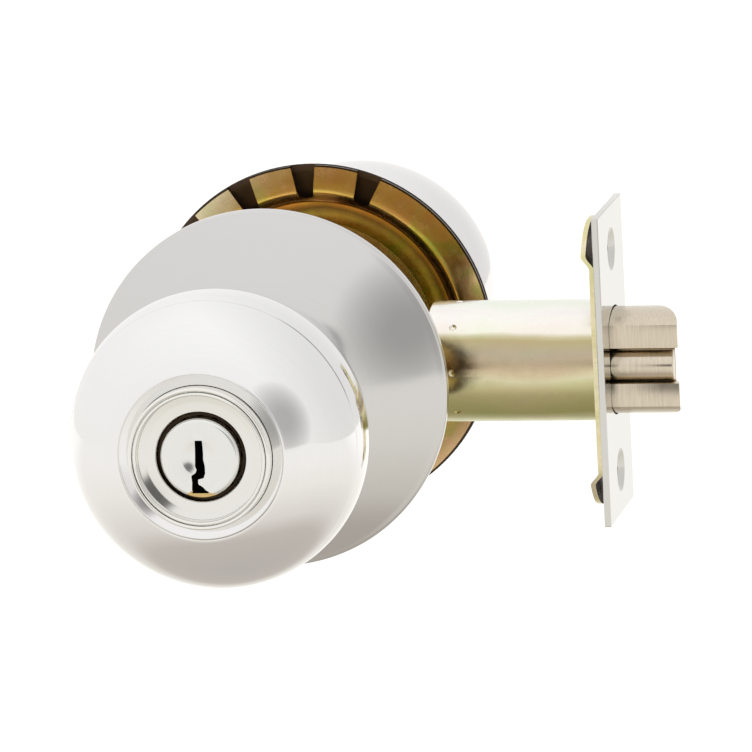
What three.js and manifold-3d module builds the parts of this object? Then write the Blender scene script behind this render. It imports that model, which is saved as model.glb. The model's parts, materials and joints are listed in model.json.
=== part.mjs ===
// Keyed knob lockset for a bored door, with a deadlocking spring latch. Millimetres, +Z up.
// The origin is where the knob axis (Y) crosses the latch centre line (X), half way through the door.
// -Y is the outside of the door, where the key goes in, and +X runs to the door's edge.
// The outside pieces are drawn facing -Y. The inside ones use the same functions in a turned group.
import * as THREE from 'three';
import { mergeVertices } from 'three/addons/utils/BufferGeometryUtils.js';
import Module from 'manifold-3d';

const wasm = await Module();
wasm.setup();

// ---- Driving dimensions -------------------------------------------------------------------

const DOOR_THICKNESS = 44;
const FACE = -DOOR_THICKNESS / 2;          // y of the door's outside face
const BACKSET = 60;                        // knob axis to the front of the faceplate
const BOLT_THROW = 12.5;

const ROSE_R = 33;
const ROSE_EDGE = 2;                       // height of the rose's upright edge
const ROSE_EDGE_ROUND = 0.6;
const ROSE_DOME = 8.3;                     // height of the dome over that edge
const ROSE_HOLE_R = 15.5;
const SHEET = 1;                           // wall of the roses and knob shells

const OUTER_KNOB_R = 26.7;
const INNER_KNOB_R = 25.7;
const KNOB_WIDEST_Y = -64.8;
const KNOB_SEAM_Y = -70.4;
const KNOB_FRONT = 18.6;                   // widest plane to the tip of the front curve
const KNOB_FRONT_POWER = 2.2;              // 2 would be an ellipse
const KNOB_BACK = 20;                      // widest plane to the back of the rear curve
const KNOB_LIP_R = 15;                     // where the front curve gives way to the cove round the ring
const COVE = [[13.8, -80.35], [12.9, -80.2]];
const KNOB_MOUTH_DEPTH = 2.4;
const KNOB_SEAM_GAP = 0.1;
const KNOB_THINNING = 0.6;                 // the shell thins towards its neck, as spun metal does
const KNOB_FRONT_WALL = 0.9;
const NECK_R = 14.9;
const NECK_BACK_Y = -32;

const HUB_R = 13.5;
const HUB_END_Y = -34;
const HUB_GAP = 0.4;                       // from the hub to the housing

const INSERT_R = 11.8;                     // the core holder's tube
const INSERT_BACK_Y = -40;
const INSERT_NECK_Y = -50;
const WEB_R = 19.7;
const WEB_Y = [-53.4, -54.8];
const CUP_R = 16.4;
const CUP_WALL = 1.2;
const CUP_FRONT_Y = -77;
const CUP_FLOOR_Y = -52.4;

const RING_R = 12.7;
const RING_INNER_R = 11.1;
const RING_Y = -82.5;                      // front of the ring, the outermost point of the lock
const RING_BACK_Y = -78.2;
const RING_BEAD = 0.45;                    // half width of the ring's rounded front
const RING_STEP = 1.3;                     // the groove behind that bead, in from the ring's outside
const COLLAR_INNER_R = 8;
const COLLAR_GAP = 0.2;                    // from the collar to the ring round it
const COLLAR_BACK_Y = -79.2;
const COLLAR_RISE = [1.4, 2.1];            // how far behind the ring's front its rim and mouth lie
const PLUG_R = 7.1;
const PLUG_Y = -81.7;                      // front face of the plug
const PLUG_EDGE = 0.3;
const PLUG_BACK_Y = -54.2;
const PLUG_NECK_R = 5;
const PLUG_END_Y = -52.6;
const PLUG_BORE_R = 7.3;
const POCKET_DEPTH = 0.9;                  // of the cut that leads the key into the keyway
const SHELL_R = 9.6;                       // round part of the cylinder shell
const SHELL_FRONT_Y = -78.8;
const NOSE_R = 7.85;                       // the shell's thin nose inside the collar
const NOSE_Y = -79.4;
const BIBLE_HALF = 3.3;                    // half width of the pin stack
const BIBLE_TOP = 13.6;
const BIBLE_Y = [-77.2, -56];
const PIN_COUNT = 5;
const PIN_PITCH = 3.97;
const PIN_FIRST_Y = -75.5;
const PIN_R = 1.4;
const PIN_TIP_R = 0.5;
const PIN_TIP = 0.7;
const PIN_HOLE_R = 1.6;
const PIN_HOLE_FLOOR = 1.5;
const KEY_PIN = 2.9;                       // the shortest key pin
const KEY_CUT = 0.35;                      // one step of the key's cuts
const KEY_CUTS = [0, 3, 2, 1, 0];
const SHEAR_GAP = 0.15;
const DRIVER_TOP = 10.6;
const PIN_SPRING = { bottom: 0.4, top: 0.3, radius: 0.9, wire: 0.22, turns: 3 };
const COVER = { half: 2.4, gap: 0.1, thickness: 0.7 };
const RETAINER = { inner: 5.2, outer: 8.2, gap: 0.2, thickness: 0.8 };
const TAIL_BAR = { half: 0.8, front: -52.4, back: -3, height: 2.8 };

const BUTTON = { seat: 8.6, radius: 7.6, back: -78.5, step: -79.6, front: -83, chamfer: 0.4 };
const GRIP = { half: 1.6, length: 6, front: -85.5 };
const BUTTON_RING = { lip: 8, bore: 9.2, step: -80, drop: 0.6, edge: 0.5 };
const BUTTON_BAR = { half: 0.8, front: -78.2, back: -3, height: 2.5 };

const SPINDLE_R = 10;
const SPINDLE_BORE_R = 8.6;
const SPINDLE_END_Y = -51;
const RUNNING_GAP = 0.3;                   // round pieces that turn in each other
const CAM_R = 14;
const CAM_WALL = 2;
const CAM_FLANGE = 1.2;
const CAM_EDGE_X = -1.5;                   // flat edges of the cam, just behind the knob axis
const CAM_NEAR_Y = -2.2;
const CAM_FAR_Y = -9.4;
const CATCH_Y = -44.5;
const CATCH_R = 1.6;
const CATCH_Z = [-12.6, -7.6];
const LEAF = { half: 2, front: 3, back: 9, bottom: -7.8, top: -7 };

const HOUSING_R = 23;
const HOUSING_WALL = 1.2;
const HOUSING_BORE_R = 10.5;
const HOUSING_OUT_Y = -19.2;
const HOUSING_IN_Y = 21;
const WINDOW_R = 11.6;                     // where the latch enters the housing
const WINDOW_X = [10, 30];
const SCREW_Z = 18;
const SCREW_R = 2.3;
const SCREW_GAP = 0.4;
const SCREW_END_Y = -14;
const SCREW_HEAD = { radius: 4, height: 1.6, slot: 0.5, depth: 0.8, seat: 0.1 };
const POST = { radius: 3.3, gap: 0.1, back: -6, bore: 2.6, hole: 3.7 };

const PAD = { back: -5, gap: 1.6, near: -8.8, far: 1.5, height: 11 };
const FRAME = { half: 1.5, height: 8, wall: 2, open: -1 };
const HOOK_GAP = 0.2;
const THROAT_GAP = 0.4;
const SLIDE_SPRING = { from: -18.4, to: -5.6, y: -4, z: 7.5, radius: 2.2, wire: 0.4, turns: 5 };

const LINER_R = 29.4;
const LINER_BORE_R = 14;
const LINER_THICKNESS = 1.2;
const PLATE_R = 32.9;
const PLATE_SHEET = 0.8;
const PLATE_FLOOR = 1;
const PLATE_BORE_R = 13.9;
const PLATE_BEND_R = 28;
const PLATE_DISH_R = 25.4;
const PLATE_BACK_STEP = 0.3;               // the bends are this much wider on the far side
const PLATE_DEPTH = 2.2;
const RIM_GAP = 0.3;                       // from the plate to the inside rose's rim
const NOTCH = [[26.4, 0.8], [27, 1.3], [34, 2.5]];     // half outline: [radius, half width]
const NOTCH_ANGLES = [70, 92.5, 115, 137.5, 160];

const TUBE_R = 11.1;
const TUBE_WALL = 0.7;
const TUBE_START_X = 26.5;
const TUBE_GAP = 0.1;                      // from the tube to the backing plate
const BOLT_R = 9.8;
const BOLT_FLAT_Y = -6.25;                 // the bolt's flat side, towards the outside
const BOLT_BACK_X = 46;
const BOLT_GAP = 0.25;
const NOSE = { start: -5.6, pull: [0.6, -1.6], end: [12, 10.4] };      // [back from the tip, y]
const GROOVE_HALF = 3.3;
const GROOVE_FLOOR_Y = -3.1;
const PLUNGER_R = 2.9;
const PLUNGER_Z = -0.3;
const PLUNGER_FLAT_Y = -3.3;
const PLUNGER_BACK_X = 54;
const PLUNGER_SHORT = 1;                   // how far it stops behind the bolt's tip
const TAIL_HALF_Y = 1.2;
const TAIL_HALF_Z = 2;
const TAIL_GRIP = 4;                       // length of the tail inside the bolt
const SOCKET_GAP = 0.1;
const HEAD_X = 16;
const HEAD_LENGTH = 2;
const HEAD_HALF_Z = 5;
const GUIDE = { start: 0.7, end: 29.8, gap: 0.15, slot: [0.4, 0.3] };
const PRONG = { start: 19, end: 28, y: 5.6, half: 0.6, height: 6 };
const BOLT_SPRING = { from: 30.4, gap: 0.6, radius: 3, wire: 0.4, turns: 6 };
const PLUNGER_SPRING = { from: 30.3, gap: 0.5, y: -5.2, radius: 0.9, wire: 0.25, turns: 9 };

const FACEPLATE = { width: 25.4, height: 57.15, thickness: 1.25 };
const BACKING = {
  half: 12,
  end: 26.5,
  corner: 7,
  thickness: 0.9,
  jog: 1.7,
  start: 19,
  slope: 1.8,
  gap: 0.02,
};
const SCREW_HOLE_Z = 20.6;
const SCREW_HOLE = { radius: 2.6, mouth: 4, land: 0.2 };

const PAST = 1;                            // how far a cutting shape passes the face it cuts

const FINE = 28;                           // facets round the large turned pieces
const COARSE = 16;
const SMALL = 12;                          // facets round pins, screws and holes
const STEPS_PER_TURN = 7;                  // of a coil spring

// ---- Solids ---------------------------------------------------------------------------------

// A closed geometry as a manifold solid.
function solid(geometry) {
  geometry.deleteAttribute('normal');
  geometry.deleteAttribute('uv');
  const merged = mergeVertices(geometry, 1e-4);
  return new wasm.Manifold(new wasm.Mesh({
    numProp: 3,
    vertProperties: new Float32Array(merged.attributes.position.array),
    triVerts: new Uint32Array(merged.index.array),
  }));
}

// Turned about Y. The profile is a list of [radius, y] that starts and ends on the axis or closes on itself.
function turned(profile, facets = COARSE) {
  const points = profile.map(([r, y]) => new THREE.Vector2(r, y));
  const onAxis = points[0].x === 0 && points[points.length - 1].x === 0;
  if (THREE.ShapeUtils.area(points) < 0) points.reverse();
  if (!onAxis) points.push(points[0].clone());
  return solid(new THREE.LatheGeometry(points, facets));
}

// A washer or tube about Y, from radius inner to outer and from y0 to y1.
function sleeve(inner, outer, y0, y1, facets = COARSE) {
  return turned([[inner, y0], [outer, y0], [outer, y1], [inner, y1]], facets);
}

// A rod of a given radius along an axis ('x', 'y' or 'z') from a to b, off the axis by the given centre.
function rod(axis, radius, a, b, centre = [0, 0], facets = COARSE) {
  const geometry = new THREE.CylinderGeometry(radius, radius, b - a, facets);
  geometry.translate(0, (a + b) / 2, 0);
  if (axis === 'x') geometry.rotateZ(-Math.PI / 2).translate(0, centre[0], centre[1]);
  if (axis === 'y') geometry.translate(centre[0], 0, centre[1]);
  if (axis === 'z') geometry.rotateX(Math.PI / 2).translate(centre[0], centre[1], 0);
  return solid(geometry);
}

function block(x0, x1, y0, y1, z0, z1) {
  const geometry = new THREE.BoxGeometry(x1 - x0, y1 - y0, z1 - z0);
  geometry.translate((x0 + x1) / 2, (y0 + y1) / 2, (z0 + z1) / 2);
  return solid(geometry);
}

// Turned about X: the profile's second number is x.
function turnedX(profile, facets = COARSE) {
  return turned(profile, facets).rotate([0, 0, -90]);
}

// A shape drawn in (y, z) and pushed along X from x0 to x1.
function plateX(shape, x0, x1, curveSegments = 8) {
  const geometry = new THREE.ExtrudeGeometry(shape, { depth: x1 - x0, bevelEnabled: false, curveSegments });
  geometry.applyMatrix4(new THREE.Matrix4().makeBasis(
    new THREE.Vector3(0, 1, 0), new THREE.Vector3(0, 0, 1), new THREE.Vector3(1, 0, 0)));
  geometry.translate(x0, 0, 0);
  return solid(geometry);
}

// A shape drawn in (x, z) and pushed along Y from y0 to y1.
function plateY(points, y0, y1) {
  const shape = new THREE.Shape(points.map(([x, z]) => new THREE.Vector2(x, -z)));
  const geometry = new THREE.ExtrudeGeometry(shape, { depth: y1 - y0, bevelEnabled: false });
  geometry.rotateX(-Math.PI / 2);
  geometry.translate(0, y0, 0);
  return solid(geometry);
}

// A round-wire coil spring about the direction from start to end.
function coil(start, end, radius, wire, turns) {
  const from = new THREE.Vector3(...start);
  const axis = new THREE.Vector3(...end).sub(from);
  const side = new THREE.Vector3(axis.z, axis.x, axis.y).cross(axis).normalize();
  const other = axis.clone().normalize().cross(side);
  class Helix extends THREE.Curve {
    getPoint(t, target = new THREE.Vector3()) {
      const angle = 2 * Math.PI * turns * t;
      return target.copy(from).addScaledVector(axis, t)
        .addScaledVector(side, radius * Math.cos(angle))
        .addScaledVector(other, radius * Math.sin(angle));
    }
  }
  const sides = 4;
  const section = new THREE.Shape(Array.from({ length: sides }, (_, i) => {
    const angle = 2 * Math.PI * i / sides;
    return new THREE.Vector2(wire * Math.cos(angle), wire * Math.sin(angle));
  }));
  const steps = turns * STEPS_PER_TURN;
  return solid(new THREE.ExtrudeGeometry(section, { steps, extrudePath: new Helix() }));
}

// Points [radius, y] along an arc of an ellipse about (r0, y0), with angles in degrees.
function arc(r0, y0, rx, ry, fromDeg, toDeg, steps) {
  return Array.from({ length: steps + 1 }, (_, i) => {
    const t = THREE.MathUtils.degToRad(fromDeg + (toDeg - fromDeg) * i / steps);
    return [r0 + rx * Math.cos(t), y0 + ry * Math.sin(t)];
  });
}

const FINISH = {
  polished: { color: 0xe6e4e2, roughness: 0.08, metalness: 1 },
  satin: { color: 0xcfccc8, roughness: 0.25, metalness: 1 },
  yellow: { color: 0xcbbf7a, roughness: 0.35, metalness: 1 },
  steel: { color: 0xa9a9a6, roughness: 0.4, metalness: 1 },
  brass: { color: 0xc9a557, roughness: 0.3, metalness: 1 },
  bolt: { color: 0xb9ac9c, roughness: 0.35, metalness: 1 },
  spring: { color: 0x8f8f8c, roughness: 0.35, metalness: 1 },
};

// A named mesh with its own material, added to a group.
function piece(group, name, body, finish) {
  const data = body.getMesh();
  const geometry = new THREE.BufferGeometry();
  geometry.setAttribute('position', new THREE.BufferAttribute(data.vertProperties, data.numProp));
  geometry.setIndex(new THREE.BufferAttribute(data.triVerts, 1));
  const flat = geometry.toNonIndexed();
  flat.computeVertexNormals();
  const mesh = new THREE.Mesh(flat, new THREE.MeshStandardMaterial(FINISH[finish]));
  mesh.name = name;
  group.add(mesh);
  return mesh;
}

// ---- Roses, hubs and knobs, drawn for the outside --------------------------------------------

// Height of the rose's dome over its edge at radius r.
function roseHeight(r) {
  const reach = ROSE_R - SHEET;
  const sphere = (reach * reach + ROSE_DOME * ROSE_DOME) / (2 * ROSE_DOME);
  return Math.sqrt(sphere * sphere - Math.min(r, reach) ** 2) - (sphere - ROSE_DOME);
}

// The rim is the y at which the rose's upright edge ends.
function rose(rim) {
  const steps = 4;
  const radii = Array.from({ length: steps + 1 }, (_, i) => (
    ROSE_HOLE_R + (ROSE_R - SHEET - ROSE_HOLE_R) * i / steps));
  const outer = radii.map((r) => [r, FACE - ROSE_EDGE - roseHeight(r)]);
  const inner = radii.map((r) => [r, FACE - ROSE_EDGE + SHEET - roseHeight(r)]).reverse();
  const edge = arc(ROSE_R - SHEET, FACE - ROSE_EDGE, SHEET, ROSE_EDGE_ROUND, -60, 0, 2);
  return turned([...outer, ...edge, [ROSE_R, rim], [ROSE_R - SHEET, rim], ...inner], FINE);
}

// The threaded sleeve that the knob's spindle turns in, from the knob's neck to the housing.
function hub(housingY) {
  return sleeve(SPINDLE_R + RUNNING_GAP, HUB_R, HUB_END_Y, housingY - HUB_GAP);
}

// The outside radius, at a given y, of a knob of a given size.
function knobRadius(y, size) {
  const off = y - KNOB_WIDEST_Y;
  if (off > 0) return size * Math.sqrt(1 - (off / KNOB_BACK) ** 2);
  return size * (1 - (-off / KNOB_FRONT) ** KNOB_FRONT_POWER) ** (1 / KNOB_FRONT_POWER);
}

// The y on the knob's front curve at a given radius.
function knobFrontY(r, size) {
  return KNOB_WIDEST_Y - KNOB_FRONT * (1 - (r / size) ** KNOB_FRONT_POWER) ** (1 / KNOB_FRONT_POWER);
}

function knobRearShell(size) {
  const neckTop = KNOB_WIDEST_Y + KNOB_BACK * Math.sqrt(1 - (NECK_R / size) ** 2);
  const seam = KNOB_SEAM_Y + KNOB_SEAM_GAP;
  const thinning = SHEET * KNOB_THINNING;
  const steps = 6;
  const outer = Array.from({ length: steps + 1 }, (_, i) => {
    const angle = (i / steps) * Math.PI / 2;
    const y = neckTop + (KNOB_WIDEST_Y - neckTop) * Math.sin(angle);
    return [knobRadius(y, size), y];
  });
  outer.push([knobRadius(seam, size), seam]);
  const inner = outer.map(([r, y]) => [r - SHEET, Math.min(y + thinning * (1 - r / size), NECK_BACK_Y)]);
  return turned([
    [NECK_R, NECK_BACK_Y], ...outer, ...inner.reverse(), [NECK_R - SHEET, NECK_BACK_Y],
  ], FINE);
}

function knobFrontShell(size) {
  const steps = 5;
  const start = knobRadius(KNOB_SEAM_Y, size);
  const wall = SHEET * KNOB_FRONT_WALL;
  const radii = Array.from({ length: steps + 1 }, (_, i) => (
    KNOB_LIP_R + (start - KNOB_LIP_R) * Math.sin((1 - i / steps) * Math.PI / 2)));
  const outer = radii.map((r) => [r, knobFrontY(r, size)]);
  const inner = outer.map(([r, y]) => [r - wall * (r / size), y + SHEET]);
  inner[0][1] = KNOB_SEAM_Y;
  const [mouthR, mouthY] = COVE[COVE.length - 1];
  return turned([
    ...outer, ...COVE, [mouthR, mouthY + KNOB_MOUTH_DEPTH],
    [mouthR + SHEET, mouthY + KNOB_MOUTH_DEPTH], ...inner.reverse(),
  ], FINE);
}

// The core holder: a tube on the spindle, a web that fills the rear shell and a cup for the cylinder.
function knobInsert() {
  const bore = SPINDLE_R + RUNNING_GAP;
  const body = turned([
    [bore, INSERT_BACK_Y], [INSERT_R, INSERT_BACK_Y], [INSERT_R, INSERT_NECK_Y], [WEB_R, WEB_Y[0]],
    [WEB_R, WEB_Y[1]], [CUP_R, WEB_Y[1]], [CUP_R, CUP_FRONT_Y], [CUP_R - CUP_WALL, CUP_FRONT_Y],
    [CUP_R - CUP_WALL, CUP_FLOOR_Y], [bore, CUP_FLOOR_Y + SHEET],
  ]);
  return body.subtract(rod('z', CATCH_R + RUNNING_GAP, -INSERT_R - PAST, -bore + PAST, [0, CATCH_Y], SMALL));
}

// A tube with a half-round cam at its inner end, whose flat edges push the retractor.
function spindle() {
  const tube = sleeve(SPINDLE_BORE_R, SPINDLE_R, SPINDLE_END_Y, CAM_FAR_Y);
  const flange = sleeve(SPINDLE_BORE_R, CAM_R, CAM_FAR_Y - CAM_FLANGE, CAM_FAR_Y);
  const ring = sleeve(CAM_R - CAM_WALL, CAM_R, CAM_FAR_Y - CAM_FLANGE / 2, CAM_NEAR_Y);
  const keep = block(CAM_EDGE_X, CAM_R + PAST, CAM_FAR_Y - CAM_FLANGE, 0, -CAM_R - PAST, CAM_R + PAST);
  const holeR = CATCH_R + RUNNING_GAP;
  const hole = rod('z', holeR, -SPINDLE_R - PAST, -SPINDLE_BORE_R + PAST, [0, CATCH_Y], SMALL);
  return tube.add(flange).add(ring.intersect(keep)).subtract(hole);
}

// A sprung button on a leaf, which keeps the knob on its spindle.
function knobCatch() {
  const button = rod('z', CATCH_R, CATCH_Z[0], CATCH_Z[1], [0, CATCH_Y], SMALL);
  const leaf = block(-LEAF.half, LEAF.half, CATCH_Y - LEAF.front, CATCH_Y + LEAF.back, LEAF.bottom, LEAF.top);
  return button.add(leaf);
}

function knob(group, side, size) {
  piece(group, `${side}_knob_front_shell`, knobFrontShell(size), 'polished');
  piece(group, `${side}_knob_rear_shell`, knobRearShell(size), 'polished');
  piece(group, `${side}_knob_insert`, knobInsert(), 'steel');
  piece(group, `${side}_spindle`, spindle(), 'steel');
  piece(group, `${side}_knob_catch`, knobCatch(), 'steel');
}

// ---- Key cylinder ----------------------------------------------------------------------------

const pinY = (i) => PIN_FIRST_Y + PIN_PITCH * i;

function cylinderRing() {
  const shoulder = RING_Y + RING_BEAD;
  return turned([
    [RING_INNER_R, RING_BACK_Y], [RING_R, RING_BACK_Y], [RING_R, shoulder], [RING_R - RING_BEAD, RING_Y],
    [RING_R - 2 * RING_BEAD, RING_Y], [RING_R - RING_STEP, shoulder], [RING_INNER_R, shoulder],
  ], FINE);
}

function cylinderCollar() {
  const rim = RING_INNER_R - COLLAR_GAP;
  return turned([
    [COLLAR_INNER_R, COLLAR_BACK_Y], [rim, COLLAR_BACK_Y], [rim, RING_Y + COLLAR_RISE[0]],
    [COLLAR_INNER_R, RING_Y + COLLAR_RISE[1]],
  ], FINE);
}

// The wavy slot for the key, with a shallow pocket under it that leads the key in.
function keyway() {
  const slot = [
    [-0.65, 3.2], [0.65, 3.2], [0.65, 0.6], [0.6, -0.2], [0.85, -1.45], [0.9, -2.7], [0.6, -3.5],
    [-0.4, -3.75], [-0.4, -4.6], [0.4, -5.1], [1, -5.8], [1.2, -6.4],
    [-1.8, -6.4], [-1.6, -5.6], [-1.5, -4.25], [-1.6, -3.1], [-0.85, -2.6],
    [-0.65, -2.1], [-0.9, -1.45], [-0.85, -0.2],
  ];
  const pocket = [[-1.4, -5.6], [1, -5.6], [2.8, -6.4], [3.2, -8], [-3, -8], [-2.5, -6.2]];
  const front = PLUG_Y - PAST;
  return plateY(slot, front, PLUG_BACK_Y - PAST).add(plateY(pocket, front, PLUG_Y + POCKET_DEPTH));
}

function cylinderPlug() {
  let body = turned([
    [0, PLUG_Y], [PLUG_R - PLUG_EDGE, PLUG_Y], [PLUG_R, PLUG_Y + PLUG_EDGE], [PLUG_R, PLUG_BACK_Y],
    [PLUG_NECK_R, PLUG_BACK_Y], [PLUG_NECK_R, PLUG_END_Y], [0, PLUG_END_Y],
  ]);
  body = body.subtract(keyway());
  for (let i = 0; i < PIN_COUNT; i += 1) {
    body = body.subtract(rod('z', PIN_HOLE_R, PIN_HOLE_FLOOR, PLUG_R + PAST, [0, pinY(i)], SMALL));
  }
  return body;
}

function cylinderShell() {
  const barrel = sleeve(PLUG_BORE_R, SHELL_R, SHELL_FRONT_Y, PLUG_BACK_Y);
  const nose = sleeve(PLUG_BORE_R, NOSE_R, NOSE_Y, SHELL_FRONT_Y + PAST);
  const bible = block(-BIBLE_HALF, BIBLE_HALF, BIBLE_Y[0], BIBLE_Y[1], PIN_HOLE_R, BIBLE_TOP);
  let body = barrel.add(nose).add(bible).subtract(rod('y', PLUG_BORE_R, PLUG_Y, PLUG_END_Y));
  for (let i = 0; i < PIN_COUNT; i += 1) {
    body = body.subtract(rod('z', PIN_HOLE_R, PIN_HOLE_R, BIBLE_TOP + PAST, [0, pinY(i)], SMALL));
  }
  return body;
}

// Key pins are cut to lengths that meet the shear line with the key in.
function keyPin(i) {
  const length = KEY_PIN + KEY_CUT * KEY_CUTS[i];
  const top = PLUG_R - SHEAR_GAP;
  const straight = new THREE.CylinderGeometry(PIN_R, PIN_R, length - PIN_TIP, SMALL);
  straight.rotateX(Math.PI / 2).translate(0, pinY(i), top - (length - PIN_TIP) / 2);
  const tip = new THREE.CylinderGeometry(PIN_R, PIN_TIP_R, PIN_TIP, SMALL);
  tip.rotateX(Math.PI / 2).translate(0, pinY(i), top - length + PIN_TIP / 2);
  return solid(straight).add(solid(tip));
}

function driverPin(i) {
  return rod('z', PIN_R, PLUG_BORE_R + SHEAR_GAP, DRIVER_TOP, [0, pinY(i)], SMALL);
}

function pinSpring(i) {
  const { bottom, top, radius, wire, turns } = PIN_SPRING;
  return coil([0, pinY(i), DRIVER_TOP + bottom], [0, pinY(i), BIBLE_TOP - top], radius, wire, turns);
}

function pinCover() {
  const bottom = BIBLE_TOP + COVER.gap;
  return block(-COVER.half, COVER.half, BIBLE_Y[0], BIBLE_Y[1], bottom, bottom + COVER.thickness);
}

function plugRetainer() {
  const front = PLUG_BACK_Y + RETAINER.gap;
  return sleeve(RETAINER.inner, RETAINER.outer, front, front + RETAINER.thickness);
}

// A flat bar along Y that turns with the plug or with the button.
function flatBar({ half, front, back, height }) {
  return block(-half, half, front, back, -height, height);
}

function keyCylinder(group) {
  piece(group, 'cylinder_ring', cylinderRing(), 'polished');
  piece(group, 'cylinder_collar', cylinderCollar(), 'satin');
  piece(group, 'cylinder_shell', cylinderShell(), 'brass');
  piece(group, 'cylinder_plug', cylinderPlug(), 'satin');
  piece(group, 'plug_retainer', plugRetainer(), 'steel');
  piece(group, 'tailpiece', flatBar(TAIL_BAR), 'steel');
  piece(group, 'pin_cover', pinCover(), 'brass');
  for (let i = 0; i < PIN_COUNT; i += 1) {
    piece(group, `key_pin_${i + 1}`, keyPin(i), 'brass');
    piece(group, `driver_pin_${i + 1}`, driverPin(i), 'brass');
    piece(group, `pin_spring_${i + 1}`, pinSpring(i), 'spring');
  }
}

// ---- Turn button -----------------------------------------------------------------------------

function turnButton() {
  const { seat, radius, back, step, front, chamfer } = BUTTON;
  const disc = turned([
    [0, back], [seat, back], [seat, step], [radius, step], [radius, front + chamfer],
    [radius - chamfer, front], [0, front],
  ]);
  return disc.add(block(-GRIP.half, GRIP.half, GRIP.front, front + chamfer / 2, -GRIP.length, GRIP.length));
}

function innerKnobRing() {
  const { lip, bore, step, drop, edge } = BUTTON_RING;
  return turned([
    [lip, RING_Y + drop], [RING_R - edge, RING_Y], [RING_R, RING_Y + edge], [RING_R, RING_BACK_Y],
    [bore, RING_BACK_Y], [bore, step], [lip, step],
  ], FINE);
}

function lockButton(group) {
  piece(group, 'inner_knob_ring', innerKnobRing(), 'polished');
  piece(group, 'turn_button', turnButton(), 'satin');
  piece(group, 'button_shaft', flatBar(BUTTON_BAR), 'steel');
}

// ---- Chassis ---------------------------------------------------------------------------------

function chassisHousing() {
  let body = sleeve(HOUSING_BORE_R, HOUSING_R, HOUSING_OUT_Y, HOUSING_IN_Y, FINE);
  const hollow = rod('y', HOUSING_R - HOUSING_WALL, HOUSING_OUT_Y + HOUSING_WALL, HOUSING_IN_Y - HOUSING_WALL,
    [0, 0], FINE);
  body = body.subtract(hollow).subtract(rod('x', WINDOW_R, WINDOW_X[0], WINDOW_X[1]));
  for (const z of [SCREW_Z, -SCREW_Z]) {
    body = body.subtract(rod('y', POST.hole, HOUSING_OUT_Y - PAST, 0, [0, z]));
    body = body.subtract(rod('y', SCREW_R + SCREW_GAP, 0, HOUSING_IN_Y + PAST, [0, z]));
  }
  return body;
}

// The slide that pulls the latch: a pad for the cam, and a flat frame that hooks the latch's tail.
function retractor() {
  const hook = HEAD_X + HEAD_LENGTH + HOOK_GAP;
  const { back, gap, near, far, height } = PAD;
  const head = HEAD_HALF_Z + THROAT_GAP;
  const tail = TAIL_HALF_Z + THROAT_GAP;
  const through = FRAME.half + PAST;
  const pad = block(back, CAM_EDGE_X - gap, near, far, -height, height);
  const frame = block(back, hook + FRAME.wall, -FRAME.half, FRAME.half, -FRAME.height, FRAME.height);
  const opening = block(FRAME.open, hook, -through, through, -head, head);
  const throat = block(hook - PAST, hook + FRAME.wall + PAST, -through, through, -tail, tail);
  return pad.add(frame).subtract(opening).subtract(throat);
}

// The dished plate behind the inside rose, with tapered notches cut in its rim.
function innerMountingPlate() {
  const face = -FACE;
  const floor = face + PLATE_DEPTH;
  let body = turned([
    [PLATE_BORE_R, floor], [PLATE_DISH_R, floor], [PLATE_BEND_R, face], [PLATE_R, face],
    [PLATE_R, face + PLATE_SHEET], [PLATE_BEND_R + PLATE_BACK_STEP, face + PLATE_SHEET],
    [PLATE_DISH_R + PLATE_BACK_STEP, floor + PLATE_FLOOR], [PLATE_BORE_R, floor + PLATE_FLOOR],
  ], FINE);
  const far = floor + PLATE_FLOOR + PAST;
  const outline = [...NOTCH, ...NOTCH.map(([r, half]) => [r, -half]).reverse()];
  const notch = plateY(outline, face - PAST, far);
  for (const angle of NOTCH_ANGLES) {
    body = body.subtract(notch.rotate([0, angle, 0])).subtract(notch.rotate([0, -angle, 0]));
  }
  for (const z of [SCREW_Z, -SCREW_Z]) {
    body = body.subtract(rod('y', SCREW_R + SCREW_GAP, face, far, [0, z]));
  }
  return body;
}

function mountingScrew(z) {
  const { radius, height, slot, depth, seat: gap } = SCREW_HEAD;
  const seat = -FACE + PLATE_DEPTH + PLATE_FLOOR + gap;
  const shank = rod('y', SCREW_R, SCREW_END_Y, seat + height / 2, [0, z], SMALL);
  const head = rod('y', radius, seat, seat + height, [0, z]);
  const cut = block(-slot, slot, seat + depth, seat + height + PAST, z - radius - PAST, z + radius + PAST);
  return shank.add(head).subtract(cut);
}

function screwPost(z) {
  const tube = rod('y', POST.radius, FACE + POST.gap, POST.back, [0, z]);
  return tube.subtract(rod('y', POST.bore, FACE - PAST, POST.back + PAST, [0, z]));
}

function retractorSpring(z) {
  const { from, to, y, radius, wire, turns } = SLIDE_SPRING;
  return coil([from, y, z], [to, y, z], radius, wire, turns);
}

function chassis(group) {
  piece(group, 'chassis_housing', chassisHousing(), 'yellow');
  piece(group, 'retractor', retractor(), 'steel');
  piece(group, 'inner_mounting_plate', innerMountingPlate(), 'yellow');
  const liner = sleeve(LINER_BORE_R, LINER_R, FACE - LINER_THICKNESS, FACE, FINE);
  piece(group, 'outer_rose_liner', liner, 'yellow');
  for (const [place, side] of [['upper', 1], ['lower', -1]]) {
    piece(group, `mounting_screw_${place}`, mountingScrew(side * SCREW_Z), 'steel');
    piece(group, `screw_post_${place}`, screwPost(side * SCREW_Z), 'steel');
    piece(group, `retractor_spring_${place}`, retractorSpring(side * SLIDE_SPRING.z), 'spring');
  }
}

// ---- Latch -----------------------------------------------------------------------------------

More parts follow.
